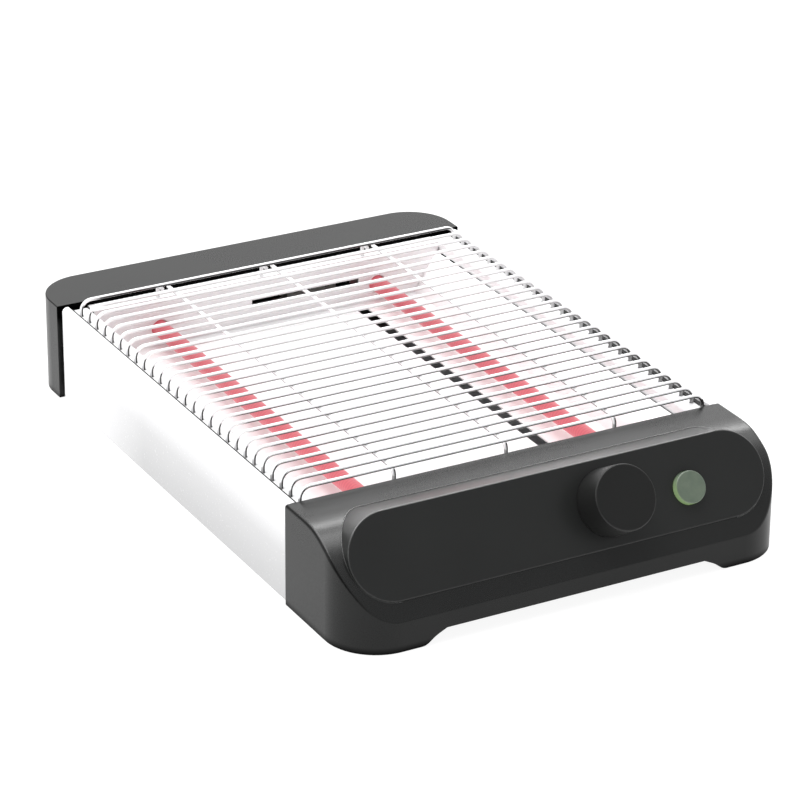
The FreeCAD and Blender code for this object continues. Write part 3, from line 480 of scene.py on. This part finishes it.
def cross_path(y):
    x, z, R = WIRE_X, WIRE_Z, WIRE_R
    p = [Vector((-x, y, WIRE_FOOT)), Vector((-x, y, WIRE_FOOT + 6))]
    p += arc_pts(Vector((-x + R, y, z - R)), 180, 90, R, (X, Z))
    for i in range(1, 8):
        p.append(Vector((-x + R + (2 * x - 2 * R) * i / 8, y, z)))
    p += arc_pts(Vector((x - R, y, z - R)), 90, 0, R, (X, Z))
    p += [Vector((x, y, WIRE_FOOT + 6)), Vector((x, y, WIRE_FOOT))]
    return [mm(q) for q in p]


def nugget(bm, c, rx, ry, rz, seg=10, rings=6):
    m = Matrix.Translation(c) @ Matrix.Diagonal((rx, ry, rz, 1))
    bmesh.ops.create_uvsphere(bm, u_segments=seg, v_segments=rings, radius=1.0, matrix=m)


# ------------------------------------------------------------ wire rack
bm = bmesh.new()
for i in range(WIRE_N - 1):
    sweep(bm, cross_path(WIRE_Y0 + WIRE_P * i), WIRE_D / 2000.0)
cross = mesh_object("cross_wires_bent", bm, chrome)
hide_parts("rack_cross_wires")
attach(cross, "housing")

yb = WIRE_Y0 + WIRE_P * (WIRE_N - 1)
bm = bmesh.new()
sweep(bm, cross_path(yb), WIRE_D / 2000.0, 16)
border = mesh_object("border_wire_bent", bm, chrome)
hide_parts("rack_border_wire")
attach(border, "housing")

bm = bmesh.new()
for x in LONG_X:
    z, R, ye, yh = LONG_Z, 4.0, yb + 0.9, 3.3
    p = [Vector((x, ye, z))]
    for i in range(1, 12):
        p.append(Vector((x, ye + (yh + R - ye) * i / 12, z)))
    p += arc_pts(Vector((x, yh + R, z - R)), 90, 180, R, (Y, Z))
    p += [Vector((x, yh, 53)), Vector((x, yh, 48))]
    sweep(bm, [mm(q) for q in p], LONG_D / 2000.0, 16)
longs = mesh_object("long_wires_bent", bm, chrome)
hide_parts("rack_long_wires")
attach(longs, "housing")

bm = bmesh.new()
for x in LONG_X:
    xx, yl, R, z = x - 4.6, REAR_WALL_Y + 2.4, 2.0, WIRE_Z - WIRE_D / 2 - LONG_D / 2 + 0.06
    p = [Vector((xx, yb - 1.2, z))]
    p += arc_pts(Vector((xx, yl - R, z - R)), 90, 0, R, (Y, Z))
    p += [Vector((xx, yl, 55)), Vector((xx, yl, 50.6))]
    sweep(bm, [mm(q) for q in p], LONG_D / 2000.0, 16)
legs = mesh_object("rear_legs_bent", bm, chrome)
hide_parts("rack_rear_legs")
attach(legs, "housing")

# resistance-weld marks where the wires cross
bm = bmesh.new()
for x in LONG_X:
    for i in range(WIRE_N):
        y = WIRE_Y0 + WIRE_P * i
        if y < 8:
            continue
        nugget(bm, mm((x, y, WIRE_Z - WIRE_D / 2)), 0.0009, 0.0009, 0.0004)
welds = mesh_object("weld_marks", bm, chrome)
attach(welds, "housing")

# ------------------------------------------------------------ bead round the raised panel
def cap_top(y):
    if y >= PROFILE[0][0]:
        return PROFILE[0][1]
    for (ya, za), (yc, zc) in zip(PROFILE[:-1], PROFILE[1:]):
        if yc <= y <= ya:
            return za + (zc - za) * (y - ya) / (yc - ya)
    return PROFILE[-1][1] - 1.4 * (PROFILE[-1][0] - y)


def joint_point(x, s_):
    lo, hi = -3.0, 46.0
    for _ in range(40):
        mid = (lo + hi) / 2
        q = on_face(x, s_) + BACK * mid
        if q.z > cap_top(q.y):
            lo = mid
        else:
            hi = mid
    return on_face(x, s_) + BACK * ((lo + hi) / 2)


ring_pts = []
c_ = FACE_A - FACE_H
for k in range(25):
    a = math.radians(270 - 180 * k / 24)
    ring_pts.append((-c_ + (FACE_H + 0.05) * math.cos(a), (FACE_H + 0.05) * math.sin(a)))
for k in range(1, 30):
    ring_pts.append((-c_ + 2 * c_ * k / 30, FACE_H + 0.05))
for k in range(25):
    a = math.radians(90 - 180 * k / 24)
    ring_pts.append((c_ + (FACE_H + 0.05) * math.cos(a), (FACE_H + 0.05) * math.sin(a)))
bm = bmesh.new()
sweep(bm, [mm(joint_point(x, s_)) for x, s_ in ring_pts], 0.00034, 10)
bead = mesh_object("panel_joint_bead", bm, bead_highlight_m)
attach(bead, "housing")

# ------------------------------------------------------------ heating coils
for s, nm in ((-1, "left"), (1, "right")):
    bm = bmesh.new()
    y0, y1, pitch, r = TUBE_Y0 + 4.3, TUBE_Y1 - 4.3, 2.2, 2.85
    turns = (y1 - y0) / pitch
    n = int(turns * 14)
    pts = []
    for i in range(n + 1):
        a = 2 * math.pi * i / 14
        pts.append(mm((s * TUBE_X + r * math.cos(a), y0 + (y1 - y0) * i / n, TUBE_Z + r * math.sin(a))))
    sweep(bm, pts, 0.00042, 6)
    c = mesh_object("coil_winding_" + nm, bm, coil_m)
    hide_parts("heating_coil_" + nm)
    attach(c, "housing")

# ------------------------------------------------------------ floor, light, camera
bm = bmesh.new()
bmesh.ops.create_grid(bm, x_segments=1, y_segments=1, size=9.0)
floor_m = Mat("floor_paint")
fn = floor_m.noise(0.6, 2.0, 0.5)
floor_m.to("Base Color", floor_m.mix(fn, (0.20, 0.20, 0.20), (0.22, 0.22, 0.22)))
floor_m.set(Roughness=0.75, Emission_Color=(0.95, 0.95, 0.95, 1.0), Emission_Strength=0.96)
floor_m.b.inputs["Specular IOR Level"].default_value = 0.2
floor = mesh_object("floor", bm, floor_m, smooth=False)

world = bpy.data.worlds.new("studio")
scene.world = world
world.use_nodes = True
wt = world.node_tree
bg = wt.nodes["Background"]
tc = wt.nodes.new("ShaderNodeTexCoord")
sep = wt.nodes.new("ShaderNodeSeparateXYZ")
wt.links.new(tc.outputs["Generated"], sep.inputs[0])
rg = wt.nodes.new("ShaderNodeValToRGB")
rg.color_ramp.elements[0].position = 0.18
rg.color_ramp.elements[0].color = (0.34, 0.34, 0.345, 1)
rg.color_ramp.elements[1].position = 0.62
rg.color_ramp.elements[1].color = (1.0, 1.0, 1.0, 1)
mr = wt.nodes.new("ShaderNodeMapRange")
mr.inputs["From Min"].default_value = -1.0
mr.inputs["From Max"].default_value = 1.0
wt.links.new(sep.outputs["Y"], mr.inputs["Value"])
wt.links.new(mr.outputs["Result"], rg.inputs["Fac"])
wt.links.new(rg.outputs["Color"], bg.inputs["Color"])
bg.inputs["Strength"].default_value = 0.95


def area(name, loc, target, size, power, col=(1, 1, 1)):
    l = bpy.data.lights.new(name, "AREA")
    l.shape = "RECTANGLE"
    l.size, l.size_y = size
    l.energy = power
    l.color = col
    o = bpy.data.objects.new(name, l)
    scene.collection.objects.link(o)
    o.location = loc
    d = Vector(target) - Vector(loc)
    o.rotation_euler = d.to_track_quat("-Z", "Y").to_euler()
    return o


area("top_box", (-0.3, 0.4, 2.3), (0, 0, 0), (2.4, 2.0), 52.0)
area("left_box", (-2.4, 0.2, 1.1), (0, 0, 0.05), (1.6, 1.4), 16.0)
area("right_strip", (1.62, 1.68, 2.2), (0, 0, 0.05), (1.25, 0.55), 20.0)
area("front_strip", (1.10, 0.20, 2.2), (0, 0, 0.05), (0.6, 1.1), 3.0)

cam_d = bpy.data.cameras.new("cam")
cam_d.sensor_width = 36.0
cam_d.lens = 159.30
cam = bpy.data.objects.new("cam", cam_d)
scene.collection.objects.link(cam)
r_, u_, d_ = (Vector((0.87632045, -0.48165698, 0.00830859)), Vector((0.1960553, 0.3723488, 0.90714866)),
              Vector((0.44002817, 0.79332398, -0.42072827)))
rot = Matrix((r_, u_, -d_)).transposed()
cam.matrix_world = Matrix.Translation(mm((-848.55321, -1413.16087, 849.97055))) @ rot.to_4x4()
cam_d.clip_end = 50.0
scene.camera = cam
scene.view_settings.view_transform = "Standard"
scene.view_settings.look = "None"
